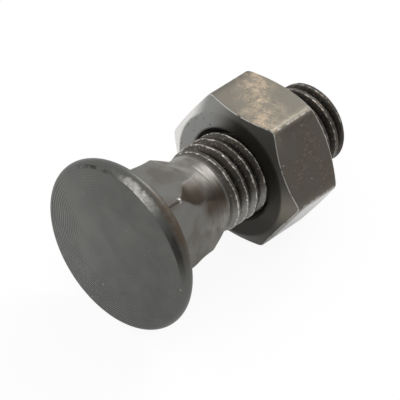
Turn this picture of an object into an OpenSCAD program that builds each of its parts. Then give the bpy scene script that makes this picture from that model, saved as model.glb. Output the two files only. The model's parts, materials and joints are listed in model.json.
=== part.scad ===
// Plow bolt with its hex nut, lying at rest on the rim of its head and one flat of the nut.
// Each piece is modelled along its own axis, with the crown of the head at 0 and the thread
// towards +Z, and is then laid down as it comes to rest. All sizes are millimetres.

/* [Head] */
// Largest diameter of the round head
head_d = 23.6; // [21:0.1:28]
// Height of the shallow crown of the face
crown_h = 0.6; // [0.3:0.1:1.2]
// Diameter of the crowned face, inside the rounded rim
face_d = 20.4; // [18:0.1:20.6]
// Rounding radius of the rim
rim_round = 1.2; // [0.8:0.05:1.4]
// Distance from the widest line of the rim back to where the cone under the head starts
rim_back = 0.65; // [0.3:0.05:0.75]

/* [Square neck] */
// Width of the square neck across its flats
neck_af = 10.6; // [9.6:0.1:10.9]
// Diameter over the rounded corners of the neck
neck_corner_d = 14; // [13:0.1:14.8]
// Distance from the crown to the end of the full corners
neck_end = 12.5; // [11.5:0.1:14]
// Distance from the crown to where the two far flats are fully flat
flat_start = 8.4; // [7.9:0.1:9.5]
// Radius at which each of these flats runs out under the head
flat_runout_r = 4.8; // [4:0.1:5]
// Distance from the crown to where the two flats beside the open corner are fully flat
near_flat_start = 5.6; // [5.4:0.1:7]
// Radius at which each of those flats runs out under the head
near_flat_runout_r = 2.9; // [2:0.1:2.9]
// Distance from the end of the full corners back to where the flats meet the round shank
flat_back = 0.3; // [0.1:0.1:1]
// Turn of the neck about the bolt's axis, away from the flats of the nut
neck_turn = 12.7; // [0:0.1:45]
// Diameter of the round blank, seen at the corner that the forging die didn't fill
blank_d = 11.8; // [11.4:0.1:12.6]
// Distance from the crown to where that corner breaks off
open_corner_start = 6.8; // [6:0.1:8]
// Slope of the broken end of that corner, from the axis
open_corner_slope = 36; // [28:1:60]

/* [Shank and thread] */
// Overall length of the bolt, from the crown to the end of the thread
bolt_len = 38.4; // [36:0.1:60]
// Diameter of the plain shank, the pitch diameter that the thread is rolled from
shank_d = 11; // [10.7:0.1:11.6]
// Outer diameter of the thread
thread_d = 12; // [11.8:0.1:12.4]
// Pitch of the thread
thread_pitch = 1.75; // [1.25:0.05:2]
// Diameter at the roots of the thread
root_d = 9.86; // [9.7:0.02:10.2]
// Width of the flat on each crest of the thread
crest_flat = 0.35; // [0.2:0.05:0.5]
// Distance from the crown to where the thread starts to rise out of the shank
thread_start = 15.7; // [15:0.1:17]
// Distance from there to the middle of the first crest
first_crest = 1.15; // [0.8:0.05:1.7]
// Length of the run-out of the thread, in turns
runout_turns = 0.75; // [0.5:0.05:1.5]
// Chamfer at the end of the thread
end_chamfer = 0.8; // [0.4:0.1:1.2]

/* [Nut] */
// Width of the nut across its flats
nut_af = 19; // [18:0.1:21]
// Height of the nut
nut_h = 9.7; // [8:0.1:11]
// Diameter of the round face left by the chamfer at both ends
nut_face_d = 17.6; // [16:0.1:18]
// Slope of that chamfer, from the face
nut_chamfer = 30; // [15:1:35]
// Length of thread that stands out past the nut
free_end = 6.9; // [2:0.1:10]
// Running clearance between the thread and the bore of the nut, on the radius
thread_gap = 0.05; // [0.03:0.01:0.1]
// Depth of the countersink at both ends of the bore
bore_sink = 0.5; // [0.2:0.05:0.8]

/* [Hidden] */
$fn = 96;

FLATS_ON_NECK = 4;
NEAR_FLATS = 2;
FLATS_ON_NUT = 6;
THREAD_HALF_ANGLE = 30;
// Room that a cutter needs past the surface that it cuts
cut_over = 1;

steel_dark = [0.33, 0.33, 0.31];
steel_brown = [0.37, 0.34, 0.31];

// Head
rim_centre_r = head_d / 2 - rim_round;
rim_centre_z = crown_h + rim_round;
rim_back_z = rim_centre_z + rim_back;
rim_back_r = rim_centre_r + sqrt(pow(rim_round, 2) - pow(rim_back, 2));
crown_r = (pow(face_d / 2, 2) + pow(crown_h, 2)) / (2 * crown_h);

// Neck: one arc takes the corners from the rim to the end of the neck, which it meets tangent
corner_drop = rim_back_r - neck_corner_d / 2;
corner_run = neck_end - rim_back_z;
corner_arc_r = (pow(corner_run, 2) + pow(corner_drop, 2)) / (2 * corner_drop);
corner_chamfer = (neck_corner_d - shank_d) / 2;
open_corner_r = neck_corner_d / 2 + corner_arc_r
    - sqrt(pow(corner_arc_r, 2) - pow(neck_end - open_corner_start, 2));
open_corner_run = (open_corner_r - blank_d / 2) / tan(open_corner_slope);

// Shank and thread
shank_from = neck_end - flat_back;
runout_end = thread_start + runout_turns * thread_pitch;
end_r = thread_d / 2 - end_chamfer;
flank_run = (thread_d - root_d) / 2 * tan(THREAD_HALF_ANGLE);
thread_turns = ceil((bolt_len - thread_start - first_crest) / thread_pitch);

// Nut
nut_corner_d = nut_af / cos(180 / FLATS_ON_NUT);
nut_from = bolt_len - free_end - nut_h;
bore_r = thread_d / 2 + thread_gap;
nut_corner_drop = (nut_corner_d - nut_face_d) / 2 * tan(nut_chamfer);

// Rest: the rim of the head and the tail end of the nut's lower flat touch the ground
nut_toe_z = nut_from + nut_h - (nut_af - nut_face_d) / 2 * tan(nut_chamfer);
rest_run = nut_toe_z - rim_centre_z;
rest_drop = rim_centre_r - nut_af / 2;
rest_tilt = atan2(rest_drop, rest_run) + asin(rim_round / norm([rest_run, rest_drop]));
rest_height = rim_centre_z * sin(rest_tilt) + rim_centre_r * cos(rest_tilt) + rim_round;
front_x = rim_centre_z * cos(rest_tilt) - rim_centre_r * sin(rest_tilt) - rim_round;
back_x = bolt_len * cos(rest_tilt) + end_r * sin(rest_tilt);

// Lays a piece down: its axis runs along +X and falls by the rest tilt, local -X points up
module laid_down() {
    translate([-(front_x + back_x) / 2, 0, rest_height])
        rotate([0, 90 + rest_tilt, 0])
            children();
}

// Half section of the head and of a body of revolution over the corners of the neck
module head_section() {
    intersection() {
        translate([0, crown_r]) circle(r = crown_r);
        square([face_d / 2, crown_h]);
    }
    translate([0, crown_h]) square([rim_centre_r, rim_back_z - crown_h]);
    translate([rim_centre_r, rim_centre_z]) circle(r = rim_round);
    difference() {
        polygon([
            [0, rim_centre_z],
            [rim_back_r, rim_back_z],
            [neck_corner_d / 2 + corner_drop, neck_end],
            [neck_corner_d / 2, neck_end],
            [shank_d / 2, neck_end + corner_chamfer],
            [0, neck_end + corner_chamfer],
        ]);
        translate([neck_corner_d / 2 + corner_arc_r, neck_end]) circle(r = corner_arc_r);
    }
}

// Cutter for one flat of the neck: a plane that runs out in an arc under the head
module flat_cutter(start, runout_r) {
    rotate([90, 0, 0])
        linear_extrude(height = head_d, center = true) {
            translate([neck_af / 2 + runout_r, start]) circle(r = runout_r);
            translate([neck_af / 2 + runout_r, start - runout_r]) square([head_d, runout_r]);
            translate([neck_af / 2, start])
                square([head_d, neck_end + corner_chamfer + cut_over - start]);
        }
}

// Cutter for the corner that was left open: a quarter ring outside the round blank
module open_corner_cutter() {
    rotate_extrude(angle = 360 / FLATS_ON_NECK)
        polygon([
            [open_corner_r, open_corner_start],
            [blank_d / 2, open_corner_start + open_corner_run],
            [shank_d / 2, shank_from],
            [shank_d / 2, neck_end + corner_chamfer + cut_over],
            [head_d, neck_end + corner_chamfer + cut_over],
            [head_d, open_corner_start],
        ]);
}

// Round head with the square neck forged under it
module head_and_neck() {
    difference() {
        rotate_extrude() head_section();
        rotate(180 - neck_turn) {
            for (i = [0 : NEAR_FLATS - 1])
                rotate(i * 360 / FLATS_ON_NECK) flat_cutter(near_flat_start, near_flat_runout_r);
            for (i = [NEAR_FLATS : FLATS_ON_NECK - 1])
                rotate(i * 360 / FLATS_ON_NECK) flat_cutter(flat_start, flat_runout_r);
            open_corner_cutter();
        }
    }
}

// Half section of the bar: plain shank, run-out, outer diameter of the thread and chamfered end
module bar_section() {
    polygon([
        [0, rim_back_z],
        [neck_af / 2 - flat_back, rim_back_z],
        [neck_af / 2 - flat_back, shank_from - flat_back],
        [shank_d / 2, shank_from + flat_back],
        [shank_d / 2, thread_start],
        [thread_d / 2, runout_end],
        [thread_d / 2, bolt_len - end_chamfer],
        [end_r, bolt_len],
        [0, bolt_len],
    ]);
}

// One turn of the thread in section: its flat crest, its flank and the root after it
function thread_turn(crest_z) = [
    [thread_d / 2, crest_z - crest_flat / 2],
    [thread_d / 2, crest_z + crest_flat / 2],
    [root_d / 2, crest_z + crest_flat / 2 + flank_run],
    [root_d / 2, crest_z + thread_pitch - crest_flat / 2 - flank_run],
];

// Half section of the thread, from before its first crest to past the end of the bolt
module thread_section() {
    polygon(concat(
        [[0, rim_back_z], [thread_d / 2, rim_back_z]],
        [for (i = [-1 : thread_turns]) each thread_turn(thread_start + first_crest + i * thread_pitch)],
        [[0, bolt_len + cut_over]]
    ));
}

// Shank and thread, turned in one: the turns of the thread are rings at its pitch
module shank_and_thread() {
    rotate_extrude()
        intersection() {
            bar_section();
            thread_section();
        }
}

// The bolt: one forging with a rolled thread
module bolt() {
    color(steel_dark)
        laid_down()
            union() {
                head_and_neck();
                shank_and_thread();
            }
}

// Half section of the nut's outside: both faces are turned to a chamfer
module nut_section() {
    polygon([
        [0, 0],
        [nut_face_d / 2, 0],
        [nut_corner_d / 2, nut_corner_drop],
        [nut_corner_d / 2, nut_h - nut_corner_drop],
        [nut_face_d / 2, nut_h],
        [0, nut_h],
    ]);
}

// Cutter for the bore, countersunk from both faces
module bore_section() {
    polygon([
        [0, -cut_over],
        [bore_r + bore_sink + cut_over, -cut_over],
        [bore_r, bore_sink],
        [bore_r, nut_h - bore_sink],
        [bore_r + bore_sink + cut_over, nut_h + cut_over],
        [0, nut_h + cut_over],
    ]);
}

// The hex nut, run on so that a few turns of thread stand out past it
module nut() {
    color(steel_brown)
        laid_down()
            translate([0, 0, nut_from])
                difference() {
                    intersection() {
                        rotate(180 / FLATS_ON_NUT)
                            cylinder(d = nut_corner_d, h = nut_h, $fn = FLATS_ON_NUT);
                        rotate_extrude() nut_section();
                    }
                    rotate_extrude() bore_section();
                }
}

bolt();
nut();
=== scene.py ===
import json
import math

import bpy
import numpy as np
from mathutils import Matrix, Vector


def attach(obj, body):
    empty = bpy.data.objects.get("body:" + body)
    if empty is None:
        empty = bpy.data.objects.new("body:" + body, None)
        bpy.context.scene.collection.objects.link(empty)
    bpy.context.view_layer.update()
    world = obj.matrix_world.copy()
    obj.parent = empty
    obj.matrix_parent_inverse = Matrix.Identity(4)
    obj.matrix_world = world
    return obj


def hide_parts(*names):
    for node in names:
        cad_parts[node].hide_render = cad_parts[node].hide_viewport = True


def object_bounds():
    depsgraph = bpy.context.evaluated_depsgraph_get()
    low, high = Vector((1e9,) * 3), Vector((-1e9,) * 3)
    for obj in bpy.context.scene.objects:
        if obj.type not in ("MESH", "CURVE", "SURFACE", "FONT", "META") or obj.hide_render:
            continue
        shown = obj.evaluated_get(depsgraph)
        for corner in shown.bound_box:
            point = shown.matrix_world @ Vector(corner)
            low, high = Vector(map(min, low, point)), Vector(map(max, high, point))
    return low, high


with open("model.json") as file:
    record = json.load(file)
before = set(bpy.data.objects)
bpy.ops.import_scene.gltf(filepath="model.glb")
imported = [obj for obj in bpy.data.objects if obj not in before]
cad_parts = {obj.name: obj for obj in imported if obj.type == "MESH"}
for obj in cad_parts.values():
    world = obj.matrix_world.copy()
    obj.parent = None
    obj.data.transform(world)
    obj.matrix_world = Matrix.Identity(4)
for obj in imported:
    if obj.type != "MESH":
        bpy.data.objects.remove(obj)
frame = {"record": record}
cad_low, cad_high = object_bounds()


# The lie of the bolt
# A dropped plow bolt comes to rest on the rim of its head and one flat of its nut. Both pieces are
# turned about one axis, which starts at the crown of the head and falls towards the end of the thread.
MM = 0.001
bolt_length = 38.4
thread_end = next(m for m in frame["record"]["mounts"] if m["name"] == "thread_end")
along_bolt = Vector(thread_end["axis"]).normalized()
towards_viewer = Vector((0, -1, 0))
above_bolt = towards_viewer.cross(along_bolt)
crown = Vector(thread_end["pos_m"]) - along_bolt * bolt_length * MM
turned = Matrix((along_bolt, above_bolt, towards_viewer)).transposed()
lying = Matrix.Translation(crown) @ (turned * MM).to_4x4()


class Wire:
    """A socket in a node tree. Sums and products of wires add Math nodes, and add() any other node."""

    def __init__(self, tree, socket):
        self.tree = tree
        self.socket = socket

    def add(self, kind, settings=None, inputs=None, output=0):
        """A new node: its settings first, then a value or a wire for each socket. Gives one output."""
        node = self.tree.nodes.new(kind)
        for name, value in (settings or {}).items():
            setattr(node, name, value)
        for key, value in (inputs or {}).items():
            if isinstance(value, Wire):
                self.tree.links.new(value.socket, node.inputs[key])
            else:
                node.inputs[key].default_value = value
        return Wire(self.tree, node.outputs[output])

    def also(self, output):
        """Another output of the node that this wire comes from."""
        return Wire(self.tree, self.socket.node.outputs[output])

    def math(self, operation, *values):
        return self.add("ShaderNodeMath", {"operation": operation}, dict(enumerate(values)))

    def __add__(self, other):
        return self.math("ADD", self, other)

    def __sub__(self, other):
        return self.math("SUBTRACT", self, other)

    def __mul__(self, other):
        return self.math("MULTIPLY", self, other)

    def __truediv__(self, other):
        return self.math("DIVIDE", self, other)

    def __rsub__(self, other):
        return self.math("SUBTRACT", other, self)

    def most(self, other):
        return self.math("MAXIMUM", self, other)

    def least(self, other):
        return self.math("MINIMUM", self, other)

    def rise(self, low, high, bottom=0.0, top=1.0, shape="SMOOTHSTEP"):
        """Goes from bottom to top while this value goes from low to high."""
        settings = {"interpolation_type": shape}
        return self.add("ShaderNodeMapRange", settings, {0: self, 1: low, 2: high, 3: bottom, 4: top})

    def near(self, middle, reach):
        """1 where this value is the middle one, falling to 0 at that reach on both sides."""
        return self.math("ABSOLUTE", self - middle).rise(reach, 0.0)

    def tint(self, below, above):
        """A colour that goes from one to another while this value goes from 0 to 1."""
        return self.add("ShaderNodeMix", {"data_type": "RGBA"}, {0: self, 6: below, 7: above}, output=2)

    def noise(self, scale, detail=3.0, stretch=(1.0, 1.0, 1.0), shift=(0.0, 0.0, 0.0)):
        """Cloudy noise from 0 to 1 over this place, with that many lumps in each unit."""
        moved = self.add(
            "ShaderNodeVectorMath", {"operation": "MULTIPLY_ADD"}, {0: self, 1: stretch, 2: shift}
        )
        return self.add("ShaderNodeTexNoise", {}, {"Vector": moved, "Scale": scale, "Detail": detail})


# The thread
# It is rolled on the shank, not cut: the blank has the pitch diameter, and the rolls press the roots
# in and raise the crests. The nut is tapped to the same helix, a little wider.
THREAD_HALF_ANGLE = math.radians(30)
thread_pitch = 1.75
thread_radius = 6.0
blank_radius = 5.5
root_radius = 4.93
end_chamfer = 0.8
first_crest = 16.68
crest_share = 0.1
crest_wear = 0.12
crest_lumps = 0.7


def thread_tree():
    """Moves each point of a blank in or out to the thread, where its rolled attribute is above 0."""
    tree = bpy.data.node_groups.new("rolled_thread", "GeometryNodeTree")
    tree.interface.new_socket("Geometry", in_out="OUTPUT", socket_type="NodeSocketGeometry")
    tree.interface.new_socket("Geometry", in_out="INPUT", socket_type="NodeSocketGeometry")
    for name in (
        "Pitch", "First crest", "Crest share", "Crest height", "Root depth", "Flank run", "Wear",
    ):
        tree.interface.new_socket(name, in_out="INPUT", socket_type="NodeSocketFloat")
    tree.interface.new_socket("Finish", in_out="INPUT", socket_type="NodeSocketMaterial")
    sizes = tree.nodes.new("NodeGroupInput").outputs
    blank = Wire(tree, sizes["Geometry"])
    pitch, start, share, height, depth, run, wear = (Wire(tree, sizes[i]) for i in range(1, 8))
    rolled, floor, ceiling = (
        blank.add("GeometryNodeInputNamedAttribute", {"data_type": "FLOAT"}, {"Name": name})
        for name in ("rolled", "least_radius", "most_radius")
    )
    place = blank.add("GeometryNodeInputPosition")
    along = place.add("ShaderNodeSeparateXYZ", {}, {0: place})
    up, out = along.also(1), along.also(2)
    radius = (up * up + out * out).math("SQRT", up * up + out * out)
    turn = up.math("ARCTAN2", out, up) / (2 * math.pi)
    phase = (along - start) / pitch - turn
    from_crest = phase.math("PINGPONG", phase, 0.5)
    worn = place.noise(crest_lumps).rise(0.45, 0.7) * wear
    thread = from_crest.rise(share, share + run, height - worn, 0 - depth, "LINEAR")
    new_radius = (radius + thread * rolled).most(floor).least(ceiling)
    stretch = new_radius / radius
    moved = place.add("ShaderNodeCombineXYZ", {}, {0: along, 1: up * stretch, 2: out * stretch})
    changed = rolled.add("FunctionNodeCompare", {"operation": "GREATER_THAN"}, {0: rolled, 1: 0.0})
    shaped = blank.add(
        "GeometryNodeSetPosition", {}, {"Geometry": blank, "Selection": changed, "Position": moved}
    )
    real = shaped.add("GeometryNodeRealizeInstances", {}, {0: shaped})
    finish = Wire(tree, sizes["Finish"])
    done = real.add("GeometryNodeSetMaterial", {}, {"Geometry": real, "Material": finish})
    tree.links.new(done.socket, tree.nodes.new("NodeGroupOutput").inputs[0])
    return tree


rolled_thread = thread_tree()


def threaded(name, blank, finish, crest_height, root_depth, wear):
    """The blank's mesh with its thread, laid down with the bolt, as a new object."""
    rough = bpy.data.objects.new(name + "_blank", blank)
    bpy.context.scene.collection.objects.link(rough)
    modifier = rough.modifiers.new("thread", "NODES")
    modifier.node_group = rolled_thread
    values = {
        "Pitch": thread_pitch,
        "First crest": first_crest,
        "Crest share": crest_share,
        "Crest height": crest_height,
        "Root depth": root_depth,
        "Flank run": (crest_height + root_depth) * math.tan(THREAD_HALF_ANGLE) / thread_pitch,
        "Wear": wear,
        "Finish": finish,
    }
    for socket in rolled_thread.interface.items_tree:
        if socket.name in values:
            modifier[socket.identifier] = values[socket.name]
    evaluated = rough.evaluated_get(bpy.context.evaluated_depsgraph_get())
    mesh = bpy.data.meshes.new_from_object(evaluated)
    bpy.data.objects.remove(rough)
    bpy.data.meshes.remove(blank)
    mesh.name = name
    mesh.transform(lying)
    for polygon in mesh.polygons:
        polygon.use_smooth = True
    piece = bpy.data.objects.new(name, mesh)
    bpy.context.scene.collection.objects.link(piece)
    return piece


def ring_mesh(name, along, radius, angle, facts, closed):
    """A mesh of rings about the axis. Open rows end in a point at each end, closed ones meet."""
    rows, columns = radius.shape
    points = np.stack([along, radius * np.cos(angle), radius * np.sin(angle)], axis=-1).reshape(-1, 3)
    index = np.arange(rows * columns).reshape(rows, columns)
    here = index if closed else index[:-1]
    there = np.roll(index, -1, axis=0) if closed else index[1:]
    quads = np.stack([here, np.roll(here, -1, 1), np.roll(there, -1, 1), there], axis=-1).reshape(-1, 4)
    faces = quads.tolist()
    if not closed:
        tips = len(points) + np.arange(2)
        points = np.vstack([points, [along[0, 0], 0, 0], [along[-1, 0], 0, 0]])
        first, last = index[0], index[-1]
        faces += np.stack([np.full(columns, tips[0]), np.roll(first, -1), first], axis=-1).tolist()
        faces += np.stack([np.full(columns, tips[1]), last, np.roll(last, -1)], axis=-1).tolist()
    mesh = bpy.data.meshes.new(name)
    mesh.from_pydata(points.tolist(), [], faces)
    for fact, values in facts.items():
        filled = np.zeros(len(points), np.float32)
        filled[: rows * columns] = values.reshape(-1)
        mesh.attributes.new(fact, "FLOAT", "POINT").data.foreach_set("value", filled)
    mesh.flip_normals()
    mesh.update()
    return mesh


# The steel
# Both pieces are plain carbon steel with a black oxide skin, oiled and handled. Where the skin is
# rubbed off the steel is bright, and where the oil has gone it is starting to rust.
SKIN_GREY = (0.125, 0.128, 0.118, 1.0)
SKIN_BROWN = (0.118, 0.099, 0.080, 1.0)
BARE_STEEL = (0.62, 0.60, 0.56, 1.0)
RUST = (0.120, 0.088, 0.062, 1.0)
relief_depth = 0.02


class Steel:
    """A material of that steel. Places on the bolt are mm along, above and towards the viewer."""

    def __init__(self, name):
        self.material = bpy.data.materials.new(name)
        self.material.use_nodes = True
        tree = self.material.node_tree
        self.shader = tree.nodes["Principled BSDF"]
        self.row = Wire(tree, tree.nodes.new("ShaderNodeTexCoord").outputs["Object"])
        self.place = self.row.add(
            "ShaderNodeMapping",
            {"vector_type": "TEXTURE"},
            {
                "Vector": self.row,
                "Location": crown,
                "Rotation": turned.to_euler(),
                "Scale": (MM, MM, MM),
            },
        )
        self.along = self.place.add("ShaderNodeSeparateXYZ", {}, {0: self.place})
        self.above = self.along.also(1)
        self.beside = self.along.also(2)
        square = self.above * self.above + self.beside * self.beside
        self.radius = square.math("SQRT", square)
        self.angle = square.math("ARCTAN2", self.beside, self.above)

    def fact(self, name):
        """A value that the mesh holds at its points."""
        return self.row.add("ShaderNodeAttribute", {"attribute_name": name}, output="Fac")

    def thread_turn(self):
        """Where a place is in its turn of the thread: from -0.5 to 0.5, with the crest at 0."""
        turn = (self.along - first_crest) / thread_pitch - self.angle / (2 * math.pi)
        return turn - turn.math("FLOOR", turn + 0.5)

    def finish(self, relief, wires):
        """Wires the finish to the shader. The relief is a height from 0 to 1."""
        bump = {"Height": relief, "Distance": relief_depth * MM}
        normal = self.row.add("ShaderNodeBump", {}, bump)
        for socket, wire in {**wires, "Normal": normal}.items():
            self.material.node_tree.links.new(wire.socket, self.shader.inputs[socket])
        return self.material


# The bolt
# One upset forging: a round head with a shallow turned crown, a square neck that keeps it from
# turning in its hole, and a rolled thread. The die left one corner of the neck unfilled.
head_radius = 11.8
crown_height = 0.6
face_radius = 11.3
rim_round = 1.2
rim_middle = 1.45
rim_back = 0.55
flaw_swell = 0.4
edge_crease = math.radians(20)
flaw_at = math.radians(33)
flaw_reach = math.radians(75)
flaw_depth = 0.9
flaw_crease = math.radians(50)
neck_flat = 5.3
neck_corner = 7.0
neck_end = 12.5
corner_drop = 0.85
corner_drop_spread = 0.41
steepest_drop_at = math.radians(-57.7)
flat_start = 8.7
flat_runout = 4.8
near_flat_start = 5.6
near_flat_runout = 2.9
near_corner = 7.46
near_corner_flare = 0.43
neck_turn = math.radians(-12.7)
open_corner_at = neck_turn + math.pi / 4
open_corner_start = 7.5
open_corner_slope = 0.53
blank_seen = 5.93
blank_seen_to = 12.2
blank_taper = 0.19
shank_start = 12.2
thread_start = 15.7
thread_runout = 1.3
tail_from = 31.5
tail_taper = 0.4
tail_dirt_from = 31.0
tail_dirt_to = 32.0
edge_round = 0.2
NO_CUT = 99.0

rim_centre = head_radius - rim_round
rim_back_along = rim_middle + rim_back
rim_back_radius = rim_centre + math.sqrt(rim_round ** 2 - rim_back ** 2)


def soft_least(a, b, reach):
    """The smaller of two radii, with the edge between them rounded."""
    share = np.maximum(reach - np.abs(a - b), 0) / reach
    return np.minimum(a, b) - share ** 2 * reach / 4


def soft_most(a, b, reach):
    """The larger of two radii, with the corner between them filled."""
    return -soft_least(-a, -b, reach)


def flat_radius(along, start, runout):
    """Distance of a flat from the axis: level behind its start, and running out in an arc before it."""
    before = start - along
    arc = runout - np.sqrt(runout ** 2 - np.clip(before, 0, runout) ** 2)
    return np.where(before < runout, neck_flat + arc, NO_CUT)


def neck_form(along, angle):
    """Radius of the neck and the shank at each place, and how far that place is in the open corner."""
    drop = rim_back_radius - neck_corner
    run = neck_end - rim_back_along
    arc = (run ** 2 + drop ** 2) / (2 * drop)
    behind = np.clip(neck_end - along, 0, run)
    slope = corner_drop + corner_drop_spread * np.cos(angle - steepest_drop_at)
    corners = neck_corner + arc - np.sqrt(arc ** 2 - behind ** 2)
    corners = corners - slope * np.maximum(along - neck_end, 0)
    off_flat = (angle - neck_turn + math.pi / 4) % (math.pi / 2) - math.pi / 4
    off_corner = (angle - open_corner_at + math.pi) % (2 * math.pi) - math.pi
    far_flats = flat_radius(along, flat_start, flat_runout)
    near_flats = flat_radius(along, near_flat_start, near_flat_runout)
    flats = np.where(np.abs(off_corner) < math.pi / 2, near_flats, far_flats) / np.cos(off_flat)
    near_land = near_corner + near_corner_flare * np.maximum(near_flat_start - along, 0) ** 2
    at_open_corner = np.abs(off_corner) < math.pi / 4
    corners = np.where(at_open_corner, np.minimum(corners, near_land), corners)
    radius = soft_least(corners, flats, edge_round)
    broken = near_corner - open_corner_slope * (along - open_corner_start)
    blank = blank_seen - np.maximum(along - blank_seen_to, 0) * blank_taper
    opened = np.where(at_open_corner, soft_most(broken, blank, edge_round * 2), NO_CUT)
    in_corner = np.clip((radius - opened) / edge_round, 0, 1)
    radius = soft_least(radius, opened, edge_round / 3)
    shank = blank_radius - np.maximum(shank_start + edge_round - along, 0)
    return soft_most(radius, shank, edge_round), in_corner


bolt_columns = 192
crown_rows = 22
rim_rows = 14
back_rows = 8
neck_step = 0.125
thread_step = 0.075
cap_rows = 6
edge_rows = [0.97, 0.985, 0.995, 1.0]

bolt_angle = np.linspace(0, 2 * math.pi, bolt_columns, endpoint=False)[None, :]
all_round = np.ones_like(bolt_angle)
from_flaw = (bolt_angle - flaw_at + math.pi) % (2 * math.pi) - math.pi
flaw = np.maximum(np.cos(np.clip(from_flaw / flaw_reach, -1, 1) * math.pi / 2), 0) ** 2
face_edge = face_radius - flaw_depth * flaw
face_edge_in = crown_height * (face_edge / face_radius) ** 2
crown_share = np.concatenate([np.linspace(0.02, 0.94, crown_rows), edge_rows])[:, None]
crown_out = crown_share * face_edge
crown_in = crown_height * (crown_out / face_radius) ** 2
edge_turn = edge_crease + (flaw_crease - edge_crease) * flaw
rim_share = np.linspace(0, 1, rim_rows + 1)[1:, None]
rim_turn = edge_turn + (math.pi / 2 - edge_turn) * rim_share
rim_swing = (np.sin(rim_turn) - np.sin(edge_turn)) / (1 - np.sin(edge_turn))
rim_fall = (np.cos(edge_turn) - np.cos(rim_turn)) / np.cos(edge_turn)
rim_out = face_edge + (head_radius - face_edge) * rim_swing
widest_in = rim_middle + flaw_swell * flaw
rim_in = face_edge_in + (widest_in - face_edge_in) * rim_fall
back_turn = np.linspace(0, math.asin(rim_back / rim_round), back_rows)[1:, None]
back_out = (rim_centre + rim_round * np.cos(back_turn)) * all_round
back_in = widest_in + rim_round * np.sin(back_turn)
neck_in = np.arange(rim_back_along + flaw_swell + neck_step, thread_start, neck_step)[:, None]
thread_in = np.arange(thread_start, bolt_length - end_chamfer, thread_step)[:, None]
chamfer_in = np.linspace(bolt_length - end_chamfer, bolt_length, cap_rows)[:, None]
cap_out = np.linspace(root_radius - edge_round, 0.1, cap_rows)[:, None]

neck_out, neck_open = neck_form(neck_in, bolt_angle)

bolt_along = np.concatenate([
    crown_in,
    rim_in,
    back_in,
    neck_in * all_round,
    thread_in * all_round,
    chamfer_in * all_round,
    np.full((cap_rows, bolt_columns), bolt_length),
])
bolt_radius = np.concatenate([
    crown_out,
    rim_out,
    back_out,
    neck_out,
    np.full((len(thread_in) + cap_rows, bolt_columns), blank_radius),
    cap_out * all_round,
])
on_thread = np.zeros_like(bolt_radius)
thread_from = len(crown_in) + len(rim_in) + len(back_in) + len(neck_in)
on_rim = np.zeros_like(bolt_radius)
on_rim[len(crown_in):len(crown_in) + len(rim_in)] = 1 - rim_share
open_corner = np.zeros_like(bolt_radius)
open_corner[thread_from - len(neck_in):thread_from] = neck_open
crease = np.zeros_like(bolt_radius)
crease[len(crown_in) - 3:len(crown_in) + 2] = 1
thread_to = thread_from + len(thread_in) + cap_rows
on_thread[thread_from:thread_to] = 1
tail_share = np.clip((bolt_along - tail_from) / (bolt_length - tail_from), 0, 1)
tail_radius = thread_radius - tail_taper * tail_share
chamfer_radius = thread_radius - np.maximum(bolt_along - bolt_length + end_chamfer, 0)
run_out = np.clip((bolt_along - thread_start) / thread_runout, 0.001, 1)
bolt_facts = {
    "rolled": on_thread * run_out,
    "least_radius": np.zeros_like(bolt_radius),
    "most_radius": np.minimum(tail_radius, chamfer_radius),
    "rim_band": on_rim,
    "face_edge": crease,
    "flaw": flaw * np.ones_like(bolt_radius),
    "open_corner": open_corner,
}
bolt_blank = ring_mesh("bolt_blank", bolt_along, bolt_radius, bolt_angle, bolt_facts, closed=False)


FLAT_GREY = (0.185, 0.182, 0.168, 1.0)
SHANK_GREY = (0.260, 0.250, 0.228, 1.0)
LAND_REFLECTION_GREY = (0.330, 0.322, 0.300, 1.0)
THREAD_DARK = (0.095, 0.088, 0.078, 1.0)
CORNER_BROWN_AND_SHADE = (0.075, 0.058, 0.042, 1.0)
# The darkest colour: dirt on the tail, in pits and along the crown's edge, and painted shade in the
# thread's roots, on an arc of the rim and low on the nut's front face.
DIRT_AND_SHADE = (0.030, 0.028, 0.025, 1.0)


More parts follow.
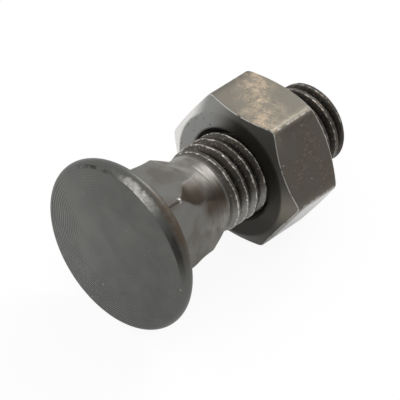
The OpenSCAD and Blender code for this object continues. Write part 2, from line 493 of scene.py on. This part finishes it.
def bolt_finish():
    """Black oxide on forged steel: turned rings on the crown, worn rim and crests, brown thread."""
    steel = Steel("bolt_black_oxide")
    place, along, radius, angle = steel.place, steel.along, steel.radius, steel.angle
    cloud = place.noise(0.35)
    speckle = place.noise(5.0, detail=4.0)
    blotch = place.noise(1.1, detail=5.0)
    rolled = steel.fact("rolled")
    turn = steel.thread_turn()
    root = turn.math("ABSOLUTE", turn).rise(0.26, 0.40) * rolled
    chips = place.noise(1.7, detail=5.0, shift=(6.0, 2.0, 8.0))
    from_edge = turn + crest_share + (blotch - 0.5) * 0.06
    lip_width = chips.rise(0.42, 0.72, 0.012, 0.08)
    lip = (from_edge.math("ABSOLUTE", from_edge) / lip_width).rise(1.0, 0.35)
    lip = lip * rolled.rise(0.0, 0.4)
    band = steel.fact("rim_band")
    edge = steel.fact("face_edge")
    flaw = steel.fact("flaw")
    on_neck = along.rise(2.4, 3.5)
    on_shank = along.rise(11.0, 13.0)
    on_thread = along.rise(15.6, 16.4)
    brown = (cloud.rise(0.4, 0.65) * 0.6 * on_neck).least(1.0)
    skin = on_neck.tint(SKIN_GREY, FLAT_GREY)
    skin = on_shank.tint(skin, SHANK_GREY)
    skin = brown.tint(skin, SKIN_BROWN)
    # Painted reflection: the flanks on the lower, near side of the thread before the nut are painted
    # pale grey.
    painted_reflection_low_side = steel.above.rise(2.4, -0.8) * steel.beside.rise(1.0, 4.0) * along.rise(24.0, 22.0)
    skin = on_thread.tint(skin, THREAD_DARK)
    skin = (rolled * painted_reflection_low_side).tint(skin, LAND_REFLECTION_GREY)
    skin = (along.rise(tail_dirt_from, tail_dirt_to) * 0.5).tint(skin, DIRT_AND_SHADE)
    skin = (rolled * (1 - painted_reflection_low_side) * chips.rise(0.45, 0.62) * 0.7).tint(skin, RUST)
    # Painted shadow: the thread's roots and the flanks beside them are darkened.
    skin = (root * 0.85).tint(skin, DIRT_AND_SHADE)
    facing_out = along.rise(0.9, 1.4) * along.rise(2.8, 2.2)
    rust_arc = angle.near(math.radians(45), math.radians(40)) * facing_out
    skin = (rust_arc * (blotch.rise(0.3, 0.55) * 0.7 + 0.3)).tint(skin, RUST)
    off_corner = angle.math("ABSOLUTE", angle - open_corner_at)
    # The open corner is painted dark brown, partly the brown skin of its unfilled forging and partly
    # painted shade. A dark line is painted along its crease, and a band of painted shade on the near
    # side of the shank.
    in_corner = steel.fact("open_corner") * along.rise(14.2, 11.2)
    on_crease = off_corner.rise(0.035, 0.02) * along.rise(7.6, 7.3) * along.rise(4.0, 5.0) * 0.6
    shank_shade = angle.near(math.radians(56), math.radians(36))
    shank_shade = shank_shade * along.rise(11.0, 12.5) * along.rise(15.9, 15.2)
    skin = in_corner.most(on_crease).most(shank_shade).least(0.97).tint(skin, CORNER_BROWN_AND_SHADE)
    # Painted highlight: the end of the open corner next to the shank is painted lighter on its upper
    # side.
    painted_highlight_end = steel.fact("open_corner") * along.rise(9.4, 11.6) * angle.rise(0.62, 0.30)
    skin = (painted_highlight_end * 0.55).tint(skin, SHANK_GREY)
    chip = off_corner.rise(0.07, 0.03) * along.near(7.55, 0.3)
    edge_dirt = edge * angle.near(math.radians(-22), math.radians(26)) * blotch.rise(0.42, 0.55)
    skin = (edge_dirt * 0.8).tint(skin, DIRT_AND_SHADE)
    # Painted shade: an arc of the rim's band near the flaw is darkened.
    painted_shade_arc = angle.near(math.radians(60), math.radians(30))
    painted_shade_arc = painted_shade_arc * band.rise(0.3, 0.65) * flaw.rise(0.1, 0.35)
    skin = (painted_shade_arc * (blotch * 0.5 + 0.7)).least(0.9).tint(skin, DIRT_AND_SHADE)
    nick = angle.near(math.radians(89), 0.022) * radius.near(11.05, 0.24) * along.rise(1.3, 0.9)
    frayed = band + (blotch - 0.5) * 0.7
    rubbed = angle.near(math.radians(14), math.radians(30))
    rubbed = rubbed * frayed.rise(0.2, 0.75) * band.rise(0.05, 0.3)
    spots = place.noise(2.2, detail=4.0, shift=(1.0, 6.0, 4.0))
    worn_patch = (rubbed * (blotch * 0.9 + spots * 0.9 - 0.2)).rise(0.05, 1.0) * 0.95
    grains = place.noise(3.2, detail=2.0, shift=(9.0, 4.0, 7.0)).rise(0.60, 0.72) * rolled * 0.4
    bright_lip = (lip * (speckle + chips).rise(0.75, 1.15, 0.25, 1.0)).most(grains)
    bright_lip = bright_lip * along.rise(tail_dirt_from, tail_dirt_to, 0.9, 0.55)
    specks = place.noise(1.6, detail=1.0, shift=(2.0, 5.0, 3.0)).rise(0.77, 0.80) * along.rise(0.9, 0.7)
    worn = worn_patch.most(bright_lip).most(specks * 0.3).most(chip * 0.6).most(nick * 0.3)
    ring_pitch = 0.36
    ring_turn = (radius + cloud * 0.2) * (2 * math.pi / ring_pitch)
    rings = ring_turn.math("SINE", ring_turn)
    # Painted light: the crown is painted paler on one side, and its turned rings are painted stronger
    # towards that side; the rest of its tone is cloudy mottling.
    painted_light_side = (0 - steel.beside - steel.above * 0.3).rise(-2.0, 7.0)
    on_face = along.rise(0.9, 0.7) * (1 - band)
    painted_ring_glint_side = (0 - steel.beside * 0.68 - steel.above * 0.73).rise(1.0, 8.5)
    turned_marks = rings * on_face * (painted_ring_glint_side * 2.3 + 0.2) * radius.rise(4.5, 7.5, 0.2, 1.0)
    inner = radius.rise(6.4, 5.7) * on_face
    drawn = place.noise(1.0, detail=2.0, stretch=(9.0, 0.4, 0.4)) - 0.5
    drawn = drawn * on_shank * (1 - on_thread)
    face_mottle_and_light = (cloud.rise(0.3, 0.7) * 0.14 + painted_light_side * 0.16 - 0.10) * on_face
    shade = drawn * 1.2 + turned_marks * 0.25 + inner * 0.07 + face_mottle_and_light + 0.9
    skin = skin.add("ShaderNodeVectorMath", {"operation": "SCALE"}, {0: skin, "Scale": shade})
    colour = worn.tint(skin, BARE_STEEL)
    pitted = (speckle * 1.2 + blotch * 0.8) * on_thread
    relief = turned_marks * 0.5 + speckle * 0.25 + pitted + drawn * 2.2 + blotch * 2.0 * rubbed + 0.5
    roughness = speckle * 0.16 + 0.34 - worn * 0.08 + on_thread * 0.08
    roughness = roughness + rust_arc * 0.2 + in_corner * 0.2 + on_crease * 0.4
    metallic = worn * 0.15 + 0.85
    wires = {"Base Color": colour, "Roughness": roughness, "Metallic": metallic}
    return steel.finish(relief, wires)


bolt = threaded(
    "bolt_forging",
    bolt_blank,
    bolt_finish(),
    crest_height=thread_radius - blank_radius,
    root_depth=blank_radius - root_radius,
    wear=crest_wear,
)
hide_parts("bolt")
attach(bolt, "bolt")


# The nut
# A hot-forged hex nut, faced to a chamfer at both ends and tapped. It is run on until a few turns of
# the thread stand out past it, and lies on one of its flats.
nut_flat = 9.5
nut_height = 9.7
nut_face = 8.8
nut_chamfer = math.radians(30)
free_end = 6.9
thread_clearance = 0.07
bore_crest = 5.15
bore_mouth = 6.6
nut_from = bolt_length - free_end - nut_height
nut_to = nut_from + nut_height
nut_corner_sharpness = 45
nut_edge_reach = 0.22
nut_corner_wear = 0.35
nut_columns = 216
nut_side_rows = 26
nut_face_rows = 9
nut_chamfer_rows = 8
bend_rows = 5


def softened(corners, rows):
    """Points of a path through those corners, with each inner corner rounded and rows between them."""
    path = []
    edge = []
    for k in range(len(corners) - 1):
        step = corners[k + 1] - corners[k]
        length = np.linalg.norm(step, axis=0)
        trim_start = nut_edge_reach / length if k > 0 else 0 * length
        trim_end = nut_edge_reach / length if k < len(corners) - 2 else 0 * length
        for share in np.linspace(0, 1, rows[k]):
            path.append(corners[k] + step * (trim_start + share * (1 - trim_start - trim_end)))
            edge.append(0.0)
        if k < len(corners) - 2:
            after = corners[k + 2] - corners[k + 1]
            into = corners[k + 1] - step / length * nut_edge_reach
            away = corners[k + 1] + after / np.linalg.norm(after, axis=0) * nut_edge_reach
            for t in np.linspace(0, 1, bend_rows + 2)[1:-1]:
                path.append(into * (1 - t) ** 2 + corners[k + 1] * 2 * t * (1 - t) + away * t ** 2)
                edge.append(max(1 - abs(t - 0.5) * 4, 0.0))
    return np.array(path), np.array(edge)


nut_angle = np.linspace(0, 2 * math.pi, nut_columns, endpoint=False)
flat_turns = np.arange(6) * math.pi / 3
facing = np.maximum(np.cos(nut_angle[None, :] - flat_turns[:, None]), 0)
nut_out = nut_flat / (facing ** nut_corner_sharpness).sum(0) ** (1 / nut_corner_sharpness)
level = np.ones(nut_columns)
chamfer_deep = (nut_out - nut_face) * math.tan(nut_chamfer)
bore_radius = blank_radius + thread_clearance
sink_deep = bore_mouth - bore_radius
nut_corners = [
    np.array([level * (nut_from + sink_deep), level * bore_radius]),
    np.array([level * nut_from, level * bore_mouth]),
    np.array([level * nut_from, level * nut_face]),
    np.array([nut_from + chamfer_deep, nut_out]),
    np.array([nut_to - chamfer_deep, nut_out]),
    np.array([level * nut_to, level * nut_face]),
    np.array([level * nut_to, level * bore_mouth]),
    np.array([level * (nut_to - sink_deep), level * bore_radius]),
]
nut_rows = [
    nut_face_rows,
    nut_face_rows,
    nut_chamfer_rows,
    nut_side_rows,
    nut_chamfer_rows,
    nut_face_rows,
    nut_face_rows,
]
nut_outside, nut_bends = softened(nut_corners, nut_rows)
bore_in = np.arange(nut_to - sink_deep - thread_step, nut_from + sink_deep, -thread_step)
nut_along = np.vstack([nut_outside[:, 0], np.repeat(bore_in[:, None], nut_columns, axis=1)])
nut_radius = np.vstack([nut_outside[:, 1], np.full((len(bore_in), nut_columns), bore_radius)])
in_bore = np.zeros_like(nut_radius)
in_bore[len(nut_outside):] = 1
in_bore[:nut_face_rows] = 1
in_bore[len(nut_outside) - nut_face_rows:] = 1
in_bore[nut_face_rows - 1] = 0
in_bore[len(nut_outside) - nut_face_rows] = 0
sink_radius = bore_mouth - np.minimum(nut_along - nut_from, nut_to - nut_along)
off_corner = np.abs((nut_angle % (math.pi / 3)) - math.pi / 6)
corner_line = np.clip(1 - off_corner * nut_flat / nut_corner_wear, 0, 1)[None, :]
on_side = ((nut_radius > nut_out[None, :] - 0.02) & (in_bore == 0)).astype(float)
bends = np.concatenate([nut_bends, np.zeros(len(bore_in))])[:, None]
nut_facts = {
    "rolled": in_bore,
    "least_radius": np.where(in_bore > 0, np.maximum(sink_radius, bore_crest), 0),
    "most_radius": np.full_like(nut_radius, NO_CUT),
    "edge": bends * (nut_radius > nut_out[None, :] - 0.3),
    "corner": corner_line * on_side,
    "front_end": (in_bore == 0) * (on_side == 0) * (nut_along < nut_from + nut_height / 2),
    "end_face": (in_bore == 0) * np.clip((nut_face + 0.1 - nut_radius) / 0.3, 0, 1),
}
nut_blank = ring_mesh("nut_blank", nut_along, nut_radius, nut_angle[None, :], nut_facts, closed=True)


NUT_TOP = (0.172, 0.158, 0.130, 1.0)
NUT_TAN = (0.440, 0.348, 0.250, 1.0)
NUT_FACE = (0.255, 0.255, 0.245, 1.0)
NUT_PAINTED_SHADE = (0.060, 0.056, 0.048, 1.0)
NUT_PAINTED_HIGHLIGHT = (0.74, 0.73, 0.71, 1.0)
stain_along = 26.3
stain_slope = 1.15
lower_flat_at = math.radians(120)


def nut_finish():
    """Black oxide on a forged nut: brown flats, a tan patch of rust on top, edges rubbed bright."""
    steel = Steel("nut_black_oxide")
    place, along = steel.place, steel.along
    cloud = place.noise(0.3, shift=(7.0, 3.0, 1.0))
    speckle = place.noise(4.0, detail=4.0)
    edge = steel.fact("edge")
    turn = steel.thread_turn()
    groove = turn.math("ABSOLUTE", turn).rise(crest_share, 0.42) * steel.fact("rolled")
    corner = steel.fact("corner")
    end_face = steel.fact("end_face")
    on_top = steel.above.rise(8.8, 9.4)
    brown = cloud.rise(0.2, 0.7) * 0.4 + 0.6
    skin = brown.tint(SKIN_GREY, SKIN_BROWN)
    skin = on_top.tint(skin, NUT_TOP)
    off_stain = steel.beside + (along - stain_along) * stain_slope
    ragged = place.noise(0.5, detail=6.0) * 10.0 - 5.0
    mottle = place.noise(1.2, detail=8.0).rise(0.30, 0.73)
    patch = on_top * (off_stain + ragged).near(0.0, 5.6)
    flecks = place.noise(4.2, detail=4.0, stretch=(1.0, 1.0, 0.6)).rise(0.50, 0.64) * 0.55
    skin = (patch * (mottle * 0.8 + flecks)).least(1.0).tint(skin, NUT_TAN)
    # Painted light and shade: the front end is painted dark on the near side, and keeps its pale faced
    # grey only on the far side.
    lit_side = steel.beside.rise(1.0, -4.5)
    front = steel.fact("front_end")
    skin = (front * (1 - lit_side)).tint(skin, NUT_PAINTED_SHADE)
    skin = (front * lit_side).tint(skin, NUT_FACE)
    # Painted shade: the front face is darkened towards its bottom.
    low_face_shade = front * end_face * steel.above.rise(-2.0, -5.0)
    skin = (low_face_shade * 0.6).tint(skin, DIRT_AND_SHADE)
    # Painted highlight: the chamfer on the far side of the front end is painted pale.
    skin = (front * (1 - end_face) * steel.beside.rise(-5.0, -7.5)).tint(skin, NUT_PAINTED_HIGHLIGHT)
    lower_chamfer = front * (1 - end_face) * steel.angle.near(math.radians(93), math.radians(28))
    skin = lower_chamfer.tint(skin, NUT_TOP)
    skin = (corner * 0.6).tint(skin, SKIN_BROWN)
    shoulder = along.rise(25.0, 22.6) * steel.above.rise(6.0, 9.0)
    shoulder = shoulder * steel.beside.rise(4.0, 6.0) * (1 - front)
    skin = (shoulder * 0.8).tint(skin, NUT_TOP)
    pits = place.noise(2.4, detail=2.0, shift=(4.0, 9.0, 2.0)).rise(0.65, 0.69) * (end_face * 0.8 + 0.2)
    skin = (pits * 0.8).tint(skin, DIRT_AND_SHADE)
    skin = (groove * 0.7).tint(skin, THREAD_DARK)
    nicks = place.noise(2.6, detail=2.0, stretch=(0.6, 1.0, 1.0)).rise(0.72, 0.77) * 0.35
    dust = place.noise(4.5, detail=3.0, stretch=(0.28, 1.3, 1.3), shift=(3.0, 8.0, 5.0))
    dust = dust.rise(0.55, 0.70) * 0.18
    clusters = cloud.rise(0.4, 0.65) * (1 - on_top)
    nicks = nicks.most(dust * clusters) * (1 - front)
    ragged_edge = place.noise(1.3, detail=5.0)
    worn = (edge.rise(0.0, 0.8) * ragged_edge.rise(0.3, 0.52) * 0.8).most(nicks)
    worn = worn.most(corner.rise(0.5, 1.0) * ragged_edge.rise(0.4, 0.6) * 0.5)
    colour = worn.tint(skin, BARE_STEEL)
    scratches = place.noise(2.2, detail=2.0, stretch=(0.25, 2.0, 2.0)).rise(0.58, 0.7)
    relief = speckle * 0.3 + scratches * 0.2 - pits * 0.6 + 0.5
    roughness = speckle * 0.16 + 0.33 - worn * 0.05 + corner * 0.2
    lower_flat = steel.beside * math.sin(lower_flat_at) + steel.above * math.cos(lower_flat_at)
    oil = lower_flat.rise(9.2, 9.45) * along.rise(23.0, 25.5) * 0.85
    metallic = worn * 0.15 + 0.85
    wires = {"Base Color": colour, "Roughness": roughness, "Metallic": metallic, "Coat Weight": oil}
    return steel.finish(relief, wires)


nut = threaded(
    "hex_nut",
    nut_blank,
    nut_finish(),
    crest_height=thread_radius - blank_radius,
    root_depth=blank_radius - root_radius,
    wear=0.0,
)
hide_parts("nut")
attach(nut, "nut")


# The stage
# A plain white sweep under soft studio light: a pale floor that keeps the bolt's shadow, a sky that
# the steel reflects, and one wide lamp above and past the end of the thread.
FLOOR_SIZE = 3.0
floor_white = (0.92, 0.92, 0.92, 1.0)
floor_glow = 0.92
mirror_share = 0.6
sky_light = 0.95
front_shade = 0.7
KEY_POWER = 1.6
KEY_SIZE = (0.34, 0.14)
key_place = Vector((0.42, 0.02, 0.46))

floor_mesh = bpy.data.meshes.new("floor")
half = FLOOR_SIZE / 2
floor_mesh.from_pydata(
    [(-half, -half, 0), (half, -half, 0), (half, half, 0), (-half, half, 0)], [], [(0, 1, 2, 3)]
)
floor = bpy.data.objects.new("floor", floor_mesh)
bpy.context.scene.collection.objects.link(floor)


def seen_straight(tree):
    """1 where a camera, a mirror or a glass looks at the stage, and 0 where it only lights the bolt."""
    path = Wire(tree, tree.nodes.new("ShaderNodeLightPath").outputs["Is Camera Ray"])
    mirrored = path.also("Is Glossy Ray").most(path.also("Is Transmission Ray"))
    return path.most(mirrored * mirror_share)


def floor_finish():
    material = bpy.data.materials.new("white_sweep")
    material.use_nodes = True
    tree = material.node_tree
    tree.nodes.clear()
    seen = seen_straight(tree) * floor_glow
    paint = seen.add("ShaderNodeBsdfDiffuse", {}, {"Color": floor_white})
    glow = seen.add("ShaderNodeEmission", {}, {"Color": (1.0, 1.0, 1.0, 1.0), "Strength": 1.0})
    mixed = seen.add("ShaderNodeMixShader", {}, {0: seen, 1: paint, 2: glow})
    output = tree.nodes.new("ShaderNodeOutputMaterial")
    tree.links.new(mixed.socket, output.inputs["Surface"])
    return material


floor_mesh.materials.append(floor_finish())

world = bpy.data.worlds.new("studio")
world.use_nodes = True
bpy.context.scene.world = world
sky_tree = world.node_tree
sky = sky_tree.nodes["Background"]
sky.inputs["Color"].default_value = (1.0, 1.0, 1.0, 1.0)
straight = Wire(sky_tree, sky_tree.nodes.new("ShaderNodeLightPath").outputs["Is Camera Ray"])
sky_place = straight.add("ShaderNodeTexCoord", {}, {}, output="Generated")
sky_east = straight.add("ShaderNodeSeparateXYZ", {}, {0: sky_place})
sky_north = sky_east.also(1)
sky_up = sky_east.also(2)
front = sky_north.rise(0.1, -0.6) * sky_up.rise(0.75, 0.3)
light = (1 - front * front_shade) * sky_light
sky_tree.links.new((straight * (1 - light) + light).socket, sky.inputs["Strength"])


def softbox(name, place, size, power, aim):
    """A wide lamp that is turned towards a point."""
    lamp = bpy.data.lights.new(name, "AREA")
    lamp.shape = "RECTANGLE"
    lamp.size, lamp.size_y = size
    lamp.energy = power
    lamp_object = bpy.data.objects.new(name, lamp)
    lamp_object.location = place
    lamp_object.rotation_euler = (aim - place).to_track_quat("-Z", "Y").to_euler()
    bpy.context.scene.collection.objects.link(lamp_object)


middle = (cad_low + cad_high) / 2
softbox("key_lamp", key_place, KEY_SIZE, KEY_POWER, middle)

# The camera
# It looks down past the head along the bolt, from the left and in front, with a long lens.
view_azimuth = math.radians(-48.3)
view_elevation = math.radians(43.08)
view_roll = math.radians(1.4)
view_distance = 0.381
view_lens = 268.7
SENSOR = 36.0
view_aim = Vector((-0.003069, 0.0, 0.009463))
back = Vector((
    math.sin(view_azimuth) * math.cos(view_elevation),
    -math.cos(view_azimuth) * math.cos(view_elevation),
    math.sin(view_elevation),
))
camera = bpy.data.cameras.new("camera")
camera.lens = view_lens
camera.sensor_width = SENSOR
camera.clip_start = view_distance / 100
camera.clip_end = view_distance * 100
camera_object = bpy.data.objects.new("camera", camera)
camera_object.location = view_aim + back * view_distance
facing_turn = (-back).to_track_quat("-Z", "Y").to_matrix() @ Matrix.Rotation(view_roll, 3, "Z")
camera_object.rotation_euler = facing_turn.to_euler()
bpy.context.scene.collection.objects.link(camera_object)
bpy.context.scene.camera = camera_object
bpy.context.scene.view_settings.view_transform = "Standard"
